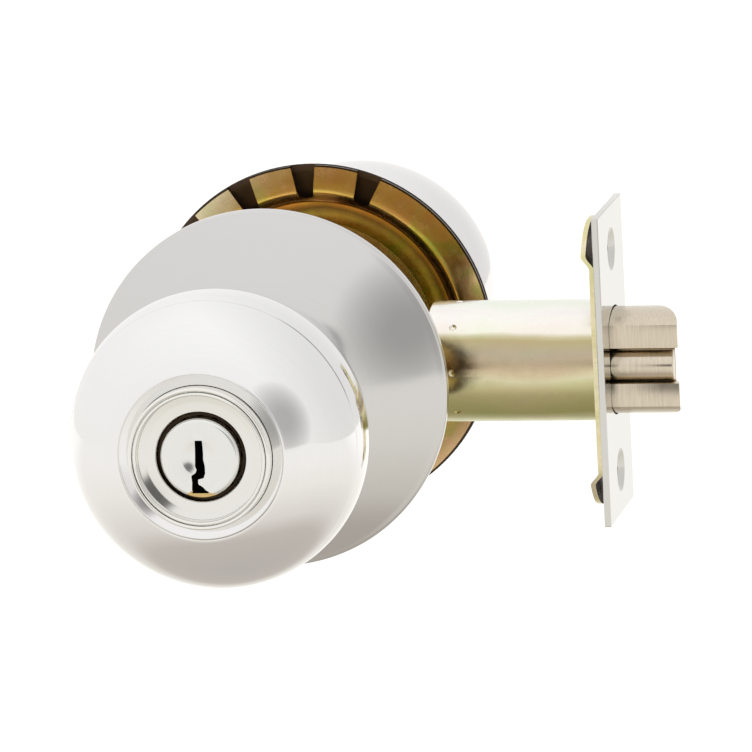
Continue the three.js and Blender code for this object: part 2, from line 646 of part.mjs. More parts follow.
// The outline of a round bar with a flat towards -Y, drawn in (y, z).
function flattedDisc(radius, flat, steps = 20) {
  const open = Math.acos(-flat / radius);
  const points = Array.from({ length: steps + 1 }, (_, i) => {
    const angle = -Math.PI + open + (2 * Math.PI - 2 * open) * i / steps;
    return new THREE.Vector2(radius * Math.cos(angle), radius * Math.sin(angle));
  });
  return new THREE.Shape(points);
}

// A curved bevel on the far side of the bolt's nose, drawn in (x, y) as what is cut off.
function noseCut(tip) {
  const shape = new THREE.Shape();
  const half = BOLT_R + PAST;
  shape.moveTo(tip, NOSE.start);
  shape.quadraticCurveTo(tip - NOSE.pull[0], NOSE.pull[1], tip - NOSE.end[0], NOSE.end[1]);
  shape.lineTo(tip + PAST, NOSE.end[1]);
  shape.lineTo(tip + PAST, NOSE.start);
  const depth = 2 * half;
  const geometry = new THREE.ExtrudeGeometry(shape, { depth, bevelEnabled: false, curveSegments: 8 });
  geometry.translate(0, 0, -half);
  return solid(geometry);
}

function latchBolt() {
  const tip = BACKSET + BOLT_THROW;
  const start = BOLT_BACK_X - PAST;
  const halfY = TAIL_HALF_Y + SOCKET_GAP;
  const halfZ = TAIL_HALF_Z + SOCKET_GAP;
  const bar = plateX(flattedDisc(BOLT_R, BOLT_FLAT_Y), BOLT_BACK_X, tip);
  const groove = block(start, tip + PAST, BOLT_FLAT_Y - PAST, GROOVE_FLOOR_Y, -GROOVE_HALF, GROOVE_HALF);
  const socket = block(start, BOLT_BACK_X + TAIL_GRIP + SOCKET_GAP, -halfY, halfY, -halfZ, halfZ);
  return bar.subtract(groove).subtract(noseCut(tip)).subtract(socket);
}

function latchTail() {
  const middle = HEAD_X + HEAD_LENGTH / 2;
  const bar = block(middle, BOLT_BACK_X + TAIL_GRIP, -TAIL_HALF_Y, TAIL_HALF_Y, -TAIL_HALF_Z, TAIL_HALF_Z);
  const head = block(HEAD_X, HEAD_X + HEAD_LENGTH, -TAIL_HALF_Y, TAIL_HALF_Y, -HEAD_HALF_Z, HEAD_HALF_Z);
  return bar.add(head);
}

function deadlatchPlunger() {
  const shape = new THREE.Shape();
  shape.absarc(PLUNGER_FLAT_Y, PLUNGER_Z, PLUNGER_R, Math.PI / 2, 3 * Math.PI / 2, false);
  return plateX(shape, PLUNGER_BACK_X, BACKSET + BOLT_THROW - PLUNGER_SHORT, SMALL);
}

// Closes the tube's inner end, guides the tail and reaches into the housing with two prongs.
function latchTubePlug() {
  const halfY = TAIL_HALF_Y + GUIDE.slot[0];
  const halfZ = HEAD_HALF_Z + GUIDE.slot[1];
  const start = TUBE_START_X + GUIDE.start;
  let body = rod('x', TUBE_R - TUBE_WALL - GUIDE.gap, start, GUIDE.end);
  body = body.subtract(block(start - PAST, GUIDE.end + PAST, -halfY, halfY, -halfZ, halfZ));
  for (const y of [-PRONG.y, PRONG.y]) {
    const prong = block(PRONG.start, PRONG.end, y - PRONG.half, y + PRONG.half, -PRONG.height, PRONG.height);
    body = body.add(prong);
  }
  return body;
}

function boltSpring() {
  const { from, gap, radius, wire, turns } = BOLT_SPRING;
  return coil([from, 0, 0], [BOLT_BACK_X - gap, 0, 0], radius, wire, turns);
}

function plungerSpring() {
  const { from, gap, y, radius, wire, turns } = PLUNGER_SPRING;
  return coil([from, y, PLUNGER_Z], [PLUNGER_BACK_X - gap, y, PLUNGER_Z], radius, wire, turns);
}

// A plate behind the faceplate that steps back behind the two screw holes.
function backingPlate() {
  const { half, end, corner, thickness, jog, start, slope, gap } = BACKING;
  const front = BACKSET - FACEPLATE.thickness - gap;
  const back = front - jog;
  const ease = thickness / 2;
  const section = [
    [front, start], [back, start + slope], [back, end], [back - thickness, end],
    [back - thickness, start + slope - ease], [front - thickness, start - ease],
  ];
  const profile = [...section, ...section.map(([x, z]) => [x, -z]).reverse()];
  const outline = new THREE.Shape();
  outline.absarc(half - corner, end - corner, corner, 0, Math.PI / 2);
  outline.absarc(corner - half, end - corner, corner, Math.PI / 2, Math.PI);
  outline.absarc(corner - half, corner - end, corner, Math.PI, 3 * Math.PI / 2);
  outline.absarc(half - corner, corner - end, corner, 3 * Math.PI / 2, 2 * Math.PI);
  const reach = back - thickness - PAST;
  let body = plateY(profile, -half, half).intersect(plateX(outline, reach, front + PAST));
  body = body.subtract(plateX(flattedDisc(BOLT_R + BOLT_GAP, BOLT_FLAT_Y - BOLT_GAP), reach, front + PAST));
  for (const z of [SCREW_HOLE_Z, -SCREW_HOLE_Z]) {
    body = body.subtract(rod('x', SCREW_HOLE.radius, reach, front + PAST, [0, z]));
  }
  return body;
}

function faceplate() {
  const { width, height, thickness } = FACEPLATE;
  const { radius, mouth, land } = SCREW_HOLE;
  const back = BACKSET - thickness;
  const opening = flattedDisc(BOLT_R + BOLT_GAP, BOLT_FLAT_Y - BOLT_GAP);
  let body = block(back, BACKSET, -width / 2, width / 2, -height / 2, height / 2);
  body = body.subtract(plateX(opening, back - PAST, BACKSET + PAST));
  for (const z of [SCREW_HOLE_Z, -SCREW_HOLE_Z]) {
    const sink = turnedX([
      [0, back - PAST], [radius, back - PAST], [radius, back + land], [mouth, BACKSET],
      [mouth, BACKSET + PAST], [0, BACKSET + PAST],
    ]);
    body = body.subtract(sink.translate([0, 0, z]));
  }
  return body;
}

function latchTube() {
  const end = BACKSET - FACEPLATE.thickness - BACKING.thickness - TUBE_GAP;
  return turnedX([
    [TUBE_R - TUBE_WALL, TUBE_START_X], [TUBE_R, TUBE_START_X], [TUBE_R, end], [TUBE_R - TUBE_WALL, end],
  ], FINE);
}

function latch(group) {
  piece(group, 'latch_tube', latchTube(), 'yellow');
  piece(group, 'latch_tube_plug', latchTubePlug(), 'steel');
  piece(group, 'latch_bolt', latchBolt(), 'bolt');
  piece(group, 'latch_tail', latchTail(), 'steel');
  piece(group, 'deadlatch_plunger', deadlatchPlunger(), 'bolt');
  piece(group, 'bolt_spring', boltSpring(), 'spring');
  piece(group, 'plunger_spring', plungerSpring(), 'spring');
  piece(group, 'backing_plate', backingPlate(), 'yellow');
  piece(group, 'faceplate', faceplate(), 'polished');
}

// ---- The lockset -----------------------------------------------------------------------------

const lockset = new THREE.Group();
const outside = new THREE.Group();
const inside = new THREE.Group();
inside.rotation.z = Math.PI;
lockset.add(outside, inside);

piece(outside, 'outer_rose', rose(FACE), 'satin');
piece(outside, 'outer_hub', hub(HOUSING_OUT_Y), 'steel');
knob(outside, 'outer', OUTER_KNOB_R);
keyCylinder(outside);

piece(inside, 'inner_rose', rose(FACE - PLATE_SHEET - RIM_GAP), 'satin');
piece(inside, 'inner_hub', hub(-HOUSING_IN_Y), 'steel');
knob(inside, 'inner', INNER_KNOB_R);
lockButton(inside);

chassis(lockset);
latch(lockset);

export default lockset;
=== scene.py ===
"""Looks for a keyed knob lockset: outside knob towards -Y, latch towards +X, +Z up.

Sizes in this file are in millimetres unless a comment says otherwise. Places come from the
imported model's boxes, and each fine mesh stands for the CAD node of the same name, except that the
plunger's spring is two meshes. The small inner parts keep their CAD solids and only get a metal.
"""
import json
import math

import bmesh
import bpy
from mathutils import Matrix, Vector


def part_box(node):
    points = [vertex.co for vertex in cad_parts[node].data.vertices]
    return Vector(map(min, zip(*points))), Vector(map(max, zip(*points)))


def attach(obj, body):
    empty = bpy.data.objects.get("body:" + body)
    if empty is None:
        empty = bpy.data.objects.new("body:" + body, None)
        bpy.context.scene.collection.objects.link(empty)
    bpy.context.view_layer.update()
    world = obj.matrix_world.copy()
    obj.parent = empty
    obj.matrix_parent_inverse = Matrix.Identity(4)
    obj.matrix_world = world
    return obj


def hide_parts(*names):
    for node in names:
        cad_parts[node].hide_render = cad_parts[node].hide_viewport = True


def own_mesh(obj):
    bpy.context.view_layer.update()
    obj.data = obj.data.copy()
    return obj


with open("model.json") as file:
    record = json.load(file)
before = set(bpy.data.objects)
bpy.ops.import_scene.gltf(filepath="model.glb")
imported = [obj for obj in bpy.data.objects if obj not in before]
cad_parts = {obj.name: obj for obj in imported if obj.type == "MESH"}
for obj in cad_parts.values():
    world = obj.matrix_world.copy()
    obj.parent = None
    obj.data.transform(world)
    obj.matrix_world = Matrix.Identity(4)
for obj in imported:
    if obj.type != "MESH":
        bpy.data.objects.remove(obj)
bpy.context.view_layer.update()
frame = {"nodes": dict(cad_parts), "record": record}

MM = 0.001
FINE = 160          # steps round the large polished pieces
ROUND = 96
SMALL = 40
SHARP = math.radians(38)
CLAMP_SCREWS = (18, -18)            # z of the two machine screws through the chassis
CLAMP_SCREW_HOLE = 2.7
FACE_SCREWS = (20.6, -20.6)         # z of the screw holes in the faceplate and its backing plate
OPENING = (10.05, -6.5)             # radius and flat of the faceplate's opening for the bolt

# ---- Mesh helpers ----------------------------------------------------------------------------


def box(node):
    low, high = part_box(node)
    return low / MM, high / MM


def fillet(points, closed=False):
    """A polyline whose corners [a, b, radius] are rounded; a corner of two numbers stays sharp."""
    out = []
    count = len(points)
    for i, point in enumerate(points):
        radius = point[2] if len(point) > 2 else 0
        here = Vector(point[:2])
        if radius <= 0 or (not closed and i in (0, count - 1)):
            out.append(tuple(here))
            continue
        before = Vector(points[i - 1][:2]) - here
        after = Vector(points[(i + 1) % count][:2]) - here
        half = before.angle(after) / 2
        reach = min(radius / math.tan(half), before.length * 0.49, after.length * 0.49)
        bend = reach * math.tan(half)
        centre = here + (before.normalized() + after.normalized()).normalized() * (bend / math.sin(half))
        start = here + before.normalized() * reach - centre
        end = here + after.normalized() * reach - centre
        sweep = start.angle(end)
        side = 1 if start.x * end.y - start.y * end.x > 0 else -1
        steps = max(2, round(sweep / math.radians(15)))
        for k in range(steps + 1):
            turn = side * sweep * k / steps
            out.append((
                centre.x + start.x * math.cos(turn) - start.y * math.sin(turn),
                centre.y + start.x * math.sin(turn) + start.y * math.cos(turn)))
    return out


def make(name, verts, faces):
    """A mesh object from points in millimetres, with doubles merged and its faces turned outwards."""
    mesh = bpy.data.meshes.new(name)
    bm = bmesh.new()
    points = [bm.verts.new([c * MM for c in v]) for v in verts]
    for face in faces:
        bm.faces.new([points[i] for i in face])
    bmesh.ops.remove_doubles(bm, verts=bm.verts, dist=2e-7)
    bmesh.ops.dissolve_degenerate(bm, edges=bm.edges, dist=1e-7)
    bmesh.ops.recalc_face_normals(bm, faces=bm.faces)
    bm.to_mesh(mesh)
    bm.free()
    made = bpy.data.objects.new(name, mesh)
    bpy.context.scene.collection.objects.link(made)
    return made


def turned(name, profile, steps=FINE, side=1, closed=True):
    """Turned about Y. side -1 makes the inside twin, turned half round about Z."""
    count = len(profile)
    verts = []
    for i in range(steps):
        angle = 2 * math.pi * i / steps
        for r, y in profile:
            verts.append((side * r * math.sin(angle), side * y, r * math.cos(angle)))
    faces = []
    for i in range(steps):
        a, b = i * count, (i + 1) % steps * count
        for k in range(count if closed else count - 1):
            m = (k + 1) % count
            faces.append((a + k, a + m, b + m, b + k))
    return make(name, verts, faces)


def turned_x(name, profile, steps, closed=True):
    """Turned about X; the profile is (radius, x)."""
    made = turned(name, profile, steps, 1, closed)
    made.data.transform(Matrix.Rotation(-math.pi / 2, 4, "Z"))
    return made


def prism(name, outline, low, high, axis):
    """An outline pushed along an axis: its points are (y, z) for x, (x, z) for y and (x, y) for z."""
    count = len(outline)

    def place(point, depth):
        a, b = point
        return {"x": (depth, a, b), "y": (a, depth, b), "z": (a, b, depth)}[axis]

    verts = [place(p, low) for p in outline] + [place(p, high) for p in outline]
    faces = [tuple(range(count)), tuple(range(2 * count - 1, count - 1, -1))]
    faces += [(i, (i + 1) % count, count + (i + 1) % count, count + i) for i in range(count)]
    return make(name, verts, faces)


def circle(radius, steps=SMALL, centre=(0, 0)):
    return [(centre[0] + radius * math.cos(2 * math.pi * i / steps),
             centre[1] + radius * math.sin(2 * math.pi * i / steps)) for i in range(steps)]


def settle(made):
    """Applies an object's modifiers to its mesh."""
    graph = bpy.context.evaluated_depsgraph_get()
    mesh = bpy.data.meshes.new_from_object(made.evaluated_get(graph))
    made.modifiers.clear()
    old = made.data
    made.data = mesh
    bpy.data.meshes.remove(old)
    return made


def combine(made, others, how="DIFFERENCE"):
    """Cuts the other solids out of this one, or adds them to it, and removes them."""
    for other in others:
        change = made.modifiers.new("change", "BOOLEAN")
        change.operation = how
        change.solver = "EXACT"
        change.object = other
    settle(made)
    for other in others:
        bpy.data.objects.remove(other)
    return made


def soften(made, width, segments):
    """Rounds the crisp edges of a solid."""
    edge = made.modifiers.new("edge", "BEVEL")
    edge.width = width * MM
    edge.segments = segments
    edge.limit_method = "ANGLE"
    edge.angle_limit = math.radians(40)
    edge.use_clamp_overlap = True
    return settle(made)


def wear(made, look, body, slot, *nodes, crease=SHARP):
    """Shades a finished piece, gives it its look, ties it to its body and hides the nodes it stands for."""
    made.data.shade_smooth()
    made.data.set_sharp_from_angle(angle=crease)
    made.data.materials.clear()
    made.data.materials.append(look)
    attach(made, body)
    if nodes:
        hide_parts(*nodes)
    return made


def paint(made, look, chosen):
    """Gives a second metal to the faces whose centre, in millimetres, the test chooses."""
    made.data.materials.append(look)
    index = len(made.data.materials) - 1
    for face in made.data.polygons:
        if chosen(face.center / MM):
            face.material_index = index


# ---- Materials -------------------------------------------------------------------------------


class Nodes:
    """Short ways to add texture and colour nodes to a tree."""

    def __init__(self, tree, coordinates):
        self.tree = tree
        self.place = tree.nodes.new("ShaderNodeTexCoord").outputs[coordinates]

    def node(self, kind, links=None, **values):
        """A new node: links gives its inputs a socket or a value, and values sets its own properties."""
        made = self.tree.nodes.new(kind)
        for key, value in values.items():
            setattr(made, key, value)
        for key, source in (links or {}).items():
            if isinstance(source, bpy.types.NodeSocket):
                self.tree.links.new(source, made.inputs[key])
            else:
                made.inputs[key].default_value = source
        return made

    def noise(self, scale, detail=3, stretch=(1, 1, 1), distortion=0):
        mapped = self.node("ShaderNodeMapping", {"Vector": self.place, "Scale": stretch})
        made = self.node("ShaderNodeTexNoise", {
            "Vector": mapped.outputs["Vector"], "Scale": scale, "Detail": detail, "Distortion": distortion})
        return made.outputs["Fac"]

    def radius(self, parts):
        """The distance from Y of a place whose three coordinates are given."""
        flat = self.node("ShaderNodeCombineXYZ", {"X": parts["X"], "Y": parts["Z"]})
        made = self.node("ShaderNodeVectorMath", {0: flat.outputs["Vector"]}, operation="LENGTH")
        return made.outputs["Value"]

    def rings(self, scale):
        """Fine marks that run round Y, as turning and polishing leave."""
        parts = self.node("ShaderNodeSeparateXYZ", {"Vector": self.place}).outputs
        both = self.node("ShaderNodeCombineXYZ", {"X": self.radius(parts), "Y": parts["Y"]})
        made = self.node("ShaderNodeTexNoise", {
            "Vector": both.outputs["Vector"], "Scale": scale, "Detail": 2})
        return made.outputs["Fac"]

    def spread(self, source, low, high, start=0.3, stop=0.7):
        """The source's range from start to stop, stretched to run from low to high."""
        made = self.node("ShaderNodeMapRange", {
            "Value": source, "From Min": start, "From Max": stop, "To Min": low, "To Max": high})
        return made.outputs["Result"]

    def ramp(self, source, stops):
        """A colour for the source's value, from stops of (value, colour)."""
        made = self.node("ShaderNodeValToRGB", {"Fac": source})
        elements = made.color_ramp.elements
        while len(elements) < len(stops):
            elements.new(0.5)
        for element, (position, colour) in zip(elements, stops):
            element.position = position
            element.color = (*colour, 1)
        return made.outputs["Color"]

    def mix(self, factor, a, b, blend="MIX"):
        made = self.node("ShaderNodeMix", data_type="RGBA", blend_type=blend)
        made.clamp_factor = True
        for key, source in ((0, factor), (6, a), (7, b)):
            if isinstance(source, bpy.types.NodeSocket):
                self.tree.links.new(source, made.inputs[key])
            else:
                made.inputs[key].default_value = (*source, 1) if key else source
        return made.outputs[2]


class Look(Nodes):
    """A metal made of nodes, in the piece's own coordinates."""

    def __init__(self, name, colour, roughness):
        self.material = bpy.data.materials.new(name)
        self.material.use_nodes = True
        super().__init__(self.material.node_tree, "Object")
        self.shader = self.tree.nodes["Principled BSDF"]
        self.shader.inputs["Metallic"].default_value = 1
        self.shader.inputs["Base Color"].default_value = (*colour, 1)
        self.shader.inputs["Roughness"].default_value = roughness

    def colour(self, source):
        self.tree.links.new(source, self.shader.inputs["Base Color"])

    def roughness(self, source):
        self.tree.links.new(source, self.shader.inputs["Roughness"])

    def bump(self, source, height):
        made = self.node("ShaderNodeBump", {"Height": source, "Distance": height * MM, "Strength": 1})
        self.tree.links.new(made.outputs["Normal"], self.shader.inputs["Normal"])


def polished(name, colour, rough):
    """Buffed stainless steel: faint marks round the axis and a little haze."""
    look = Look(name, colour, rough)
    haze = look.noise(90, 4)
    fine = look.rings(2600)
    look.roughness(look.spread(haze, rough * 0.75, rough * 1.3))
    look.colour(look.mix(look.spread(fine, 0, 1), [c * 0.985 for c in colour], colour))
    look.bump(fine, 0.0001)
    return look.material


def plated(name, stops, rough, scale=70):
    """Yellow chromate on zinc: thin-film colours that drift over the surface, with a fine tooth."""
    look = Look(name, stops[0][1], rough)
    drift = look.noise(scale, 3, distortion=0.6)
    speck = look.noise(1800, 2)
    tint = look.ramp(drift, stops)
    look.colour(look.mix(look.spread(speck, 0, 0.16, 0.45, 0.75), tint, (0.34, 0.27, 0.12)))
    look.roughness(look.spread(look.noise(420, 4), rough * 0.8, rough * 1.3))
    look.bump(look.noise(1500, 3), 0.006)
    return look.material


def plain(name, colour, rough, scale=500, stretch=(1, 1, 1)):
    """Working metal that nobody polished: uneven haze and a fine grain."""
    look = Look(name, colour, rough)
    grain = look.noise(scale, 4, stretch)
    look.colour(look.mix(look.spread(grain, 0, 1), [c * 0.84 for c in colour], colour))
    look.roughness(look.spread(look.noise(160, 3), rough * 0.8, rough * 1.25))
    look.bump(grain, 0.003)
    return look.material


STEEL_WHITE = (0.86, 0.852, 0.848)
ZINC = [
    (0.30, (0.60, 0.52, 0.17)),
    (0.42, (0.76, 0.60, 0.20)),
    (0.50, (0.82, 0.60, 0.25)),
    (0.57, (0.70, 0.54, 0.22)),
    (0.66, (0.78, 0.68, 0.27)),
]

# The latch tube's colour by the angle round X in degrees: -90 below, 0 towards -Y, 90 above. The yellow is
# the chromate's own; the lighter and darker bands round the tube are painted reflection, and the near-white
# band from 43 up is a painted highlight.
TUBE_TINT_AND_PAINTED_LIGHT = [
    (-90, (0.62, 0.62, 0.40)),
    (-62, (0.70, 0.69, 0.42)),
    (-45, (0.46, 0.44, 0.18)),
    (-30, (0.56, 0.52, 0.26)),
    (-16, (0.64, 0.60, 0.34)),
    (-6, (0.72, 0.70, 0.47)),
    (2, (0.66, 0.57, 0.37)),
    (12, (0.56, 0.47, 0.31)),
    (22, (0.50, 0.45, 0.32)),
    (35, (0.50, 0.44, 0.24)),
    (39, (0.62, 0.59, 0.38)),
    (43, (0.90, 0.89, 0.78)),
    (60, (0.92, 0.92, 0.88)),
    (90, (0.92, 0.92, 0.88)),
]


def tube_metal():
    """Pale yellow chromate with painted reflection bands by the angle round the tube and a painted highlight
    along its top.
    """
    look = Look("pale_yellow_chromate", TUBE_TINT_AND_PAINTED_LIGHT[-1][1], 0.24)
    parts = look.node("ShaderNodeSeparateXYZ", {"Vector": look.place}).outputs
    toward = look.node("ShaderNodeMath", {0: parts["Y"], 1: -1}, operation="MULTIPLY").outputs["Value"]
    angle = look.node("ShaderNodeMath", {0: parts["Z"], 1: toward}, operation="ARCTAN2").outputs["Value"]
    drift = look.spread(look.noise(55, 3, (0.5, 1, 1)), math.radians(-6), math.radians(6))
    angle = look.node("ShaderNodeMath", {0: angle, 1: drift}, operation="ADD").outputs["Value"]
    turn = look.spread(angle, 0, 1, -math.pi / 2, math.pi / 2)
    bands = look.ramp(turn, [((degrees + 90) / 180, colour) for degrees, colour in TUBE_TINT_AND_PAINTED_LIGHT])
    blotch = look.ramp(look.noise(95, 4, (0.6, 1, 1), distortion=0.8), [
        (0.35, (0.93, 0.97, 0.88)), (0.5, (1.0, 0.98, 0.96)), (0.66, (1.0, 0.93, 0.95))])
    look.colour(look.mix(1.0, bands, blotch, "MULTIPLY"))
    look.roughness(look.spread(look.noise(420, 4), 0.18, 0.3))
    look.bump(look.noise(1500, 3), 0.004)
    return look.material


# The mounting plate's colour by distance from its axis in millimetres: the chromate's yellow, with painted
# light in rings along the bends: a painted highlight at 27.9, painted reflection in the gold bands inside it,
# and painted shade in the dark band at 24.6.
PLATE_TINT_AND_PAINTED_LIGHT = [
    (13, (0.34, 0.31, 0.12)),
    (23.2, (0.44, 0.39, 0.14)),
    (24.6, (0.20, 0.13, 0.05)),
    (25.3, (0.42, 0.25, 0.08)),
    (26.2, (0.86, 0.50, 0.18)),
    (27.4, (0.80, 0.56, 0.22)),
    (27.9, (0.95, 0.86, 0.55)),
    (28.4, (0.66, 0.49, 0.26)),
    (30.5, (0.58, 0.43, 0.24)),
    (33, (0.72, 0.56, 0.34)),
]
PLATE_GAP_SHADE_RADIUS = 32.5           # beyond this radius the plate is painted dark as the shadow gap under the inside rose's rim


def plate_metal():
    """Yellow chromate on a pressed dish, with painted highlights and painted shade in rings along the bends,
    a painted dark line at its rim for the shadow gap, and paler towards -X.
    """
    look = Look("dished_yellow_chromate", ZINC[0][1], 0.24)
    parts = look.node("ShaderNodeSeparateXYZ", {"Vector": look.place}).outputs
    radius = look.radius(parts)
    painted_gap_shade = look.spread(radius, 0, 1, PLATE_GAP_SHADE_RADIUS * MM, (PLATE_GAP_SHADE_RADIUS + 0.1) * MM)
    drift = look.spread(look.noise(60, 3), -0.5 * MM, 0.5 * MM)
    radius = look.node("ShaderNodeMath", {0: radius, 1: drift}, operation="ADD")
    first, last = PLATE_TINT_AND_PAINTED_LIGHT[0][0], PLATE_TINT_AND_PAINTED_LIGHT[-1][0]
    out = look.spread(radius.outputs["Value"], 0, 1, first * MM, last * MM)
    bands = look.ramp(out, [((r - first) / (last - first), colour) for r, colour in PLATE_TINT_AND_PAINTED_LIGHT])
    blotch = look.ramp(look.noise(75, 4, distortion=1.2), [
        (0.32, (0.75, 0.95, 0.5)), (0.44, (1.0, 0.97, 0.8)),
        (0.55, (1.0, 0.85, 0.8)), (0.68, (1.0, 1.0, 0.75))])
    film = look.mix(1.0, bands, blotch, "MULTIPLY")
    paler_towards_minus_x = look.spread(parts["X"], 0.7, 0, -24 * MM, -8 * MM)
    film = look.mix(paler_towards_minus_x, film, (0.88, 0.80, 0.60))
    # Painted shade: at the outer rim the colour turns nearly black for the shadow gap against the rose.
    look.colour(look.mix(painted_gap_shade, film, (0.05, 0.035, 0.02)))
    look.roughness(look.spread(look.noise(420, 4), 0.18, 0.3))
    look.bump(look.noise(1500, 3), 0.005)
    return look.material


PALE_ZINC = [
    (0.30, (0.66, 0.62, 0.30)),
    (0.43, (0.78, 0.70, 0.42)),
    (0.52, (0.82, 0.74, 0.52)),
    (0.60, (0.74, 0.68, 0.40)),
    (0.70, (0.60, 0.58, 0.26)),
]

knob_look = polished("buffed_steel", STEEL_WHITE, 0.07)
rose_look = polished("satin_buffed_steel", (0.66, 0.65, 0.635), 0.1)
ring_look = polished("bright_ring_metal", (0.84, 0.835, 0.80), 0.06)
collar_look = polished("nickel_washer_metal", (0.80, 0.79, 0.755), 0.1)
plug_look = polished("nickel_plug_metal", (0.80, 0.80, 0.78), 0.18)
plate_look = polished("mirror_faceplate_metal", (0.66, 0.655, 0.62), 0.12)
zinc_look = plated("yellow_chromate", ZINC, 0.24)
tube_look = tube_metal()
dish_look = plate_metal()
backing_look = plated("backing_plate_chromate", PALE_ZINC, 0.26, 90)
bolt_look = plain("ground_bolt_metal", (0.72, 0.635, 0.505), 0.2, 900, (6, 1, 0.25))
steel_look = plain("bright_drawn_steel", (0.62, 0.61, 0.59), 0.32)
brass_look = plain("machined_brass", (0.70, 0.50, 0.22), 0.34)
# Brass painted nearly black as shade, for the keyway's deep walls and for the cylinder shell in the gap round
# the plug.
painted_shade_brass_look = plain("unlit_brass", (0.05, 0.035, 0.022), 0.5)
# Nearly black metal painted where shade falls: inside the roses, at the inside rose's rim and on the backing
# plate's set-back ends.
shade_look = plain("painted_shade_metal", (0.10, 0.07, 0.055), 0.55)
spring_look = plain("spring_wire", (0.55, 0.55, 0.54), 0.3, 900)

LOOKS = {
    "polished": knob_look,
    "satin": rose_look,
    "faceplate": plate_look,
    "yellow_zinc": zinc_look,
    "bolt_metal": bolt_look,
    "steel": steel_look,
    "brass": brass_look,
    "spring_steel": spring_look,
}

# ---- Roses -----------------------------------------------------------------------------------

SHEET = 1


def rose(name, side):
    low, high = box(name)
    near, far = (low.y, high.y) if side > 0 else (-high.y, -low.y)
    radius = high.x
    reach, dome, hole = radius - SHEET, 8.3, 15.5
    sphere = (reach ** 2 + dome ** 2) / (2 * dome)

    def height(r):
        return math.sqrt(max(sphere ** 2 - r ** 2, 0)) - (sphere - dome)

    level = near + height(hole)
    steps = 40
    radii = [hole + (reach - hole) * i / steps for i in range(steps + 1)]
    outer = [(r, level - height(r)) for r in radii]
    rim = [(reach + SHEET * math.sin(t), level + 0.1 + 0.7 * (1 - math.cos(t))) for t in
           [math.radians(d) for d in (25, 40, 55, 70, 80, 90)]]
    inner = [(r, y + SHEET) for r, y in reversed(outer)]
    profile = outer + rim + [(radius, far), (reach, far)] + inner
    made = turned(name, profile, FINE, side)
    wear(made, rose_look, "chassis", "satin", name)

    def painted_shade_faces(centre):
        """The inside of the cup and, on the inside rose, the rim that it turns to the door: both are painted
        dark as shade, the rim as the shadow gap against the door.
        """
        r = math.hypot(centre.x, centre.z)
        depth = side * centre.y - (level - height(min(r, reach)))
        inside = depth > 0.4 and r < reach - 0.02
        return inside or side < 0 and r > reach and side * centre.y > level + 0.3

    paint(made, shade_look, painted_shade_faces)


rose("outer_rose", 1)
rose("inner_rose", -1)

# ---- Knobs -----------------------------------------------------------------------------------

KNOB_FRONT = 18.6
KNOB_FRONT_POWER = 2.2
KNOB_BACK = 20


def knob(prefix, side, body):
    rear_low, rear_high = box(prefix + "_knob_rear_shell")
    front_low, front_high = box(prefix + "_knob_front_shell")
    radius = rear_high.x
    seam = front_high.y if side > 0 else -front_low.y
    neck_end = rear_high.y if side > 0 else -rear_low.y
    widest = seam + 5.6
    neck = 14.9

    def front(r):
        return widest - KNOB_FRONT * (1 - (r / radius) ** KNOB_FRONT_POWER) ** (1 / KNOB_FRONT_POWER)

    def across(y):
        off = y - widest
        if off > 0:
            return radius * math.sqrt(1 - (off / KNOB_BACK) ** 2)
        return radius * (1 - (-off / KNOB_FRONT) ** KNOB_FRONT_POWER) ** (1 / KNOB_FRONT_POWER)

    start, lip, mouth = across(seam), 15, 12.78
    steps = 48
    outer = [(start - 0.45, seam), (start - 0.04, seam - 0.16)]
    for i in range(1, steps + 1):
        r = lip + (start - lip) * math.sin((1 - i / steps) * math.pi / 2)
        outer.append((r, front(r)))
    cove = fillet([
        outer[-1], (14.86, front(lip) - 0.02, 0.12), (14.6, front(lip) + 0.26, 0.3),
        (mouth, front(lip) + 0.66, 0.1), (mouth, front(lip) + 3)])
    outer += cove[1:]
    inner = [(mouth + SHEET, front(lip) + 3)]
    for i in range(13):
        r = mouth + SHEET + (start - 1.1 - mouth - SHEET) * math.sin(i / 12 * math.pi / 2)
        inner.append((r, min(front(min(r, radius)) + SHEET * 1.05, seam)))
    inner[-1] = (start - 1.1, seam)
    made = turned(prefix + "_knob_front_shell", outer + inner, FINE, side)
    wear(made, knob_look, body, "polished", prefix + "_knob_front_shell")

    neck_top = widest + KNOB_BACK * math.sqrt(1 - (neck / radius) ** 2)
    back = [(neck, neck_end - 0.25), (neck, neck_top + 0.8)]
    for i in range(steps + 1):
        y = neck_top + (widest - neck_top) * math.sin(i / steps * math.pi / 2)
        back.append((across(y), y))
    for i in range(1, 9):
        y = widest + (seam + 0.14 - widest) * i / 8
        back.append((across(y), y))
    back = fillet([back[0], back[1], (*back[2], 1)] + back[3:])
    back += [(across(seam) - 0.45, seam + 0.03)]
    inside = [(r - SHEET, min(y + SHEET * 0.6 * (1 - r / radius), neck_end - 0.25))
              for r, y in reversed(back)]
    rolled = [(neck - SHEET, neck_end - 0.25), (neck - 0.75, neck_end), (neck - 0.25, neck_end)]
    made = turned(prefix + "_knob_rear_shell", back + inside + rolled, FINE, side)
    wear(made, knob_look, body, "polished", prefix + "_knob_rear_shell")


knob("outer", 1, "outer_knob")
knob("inner", -1, "inner_knob")

# ---- Key cylinder ----------------------------------------------------------------------------


def bead(centre, crest, half, drop):
    """A rounded ridge of a turned profile, from its outer foot over its crest to its inner foot."""
    return [(centre + half * math.cos(t), crest + drop * (1 - math.sin(t)))
            for t in [math.pi * i / 8 for i in range(9)]]


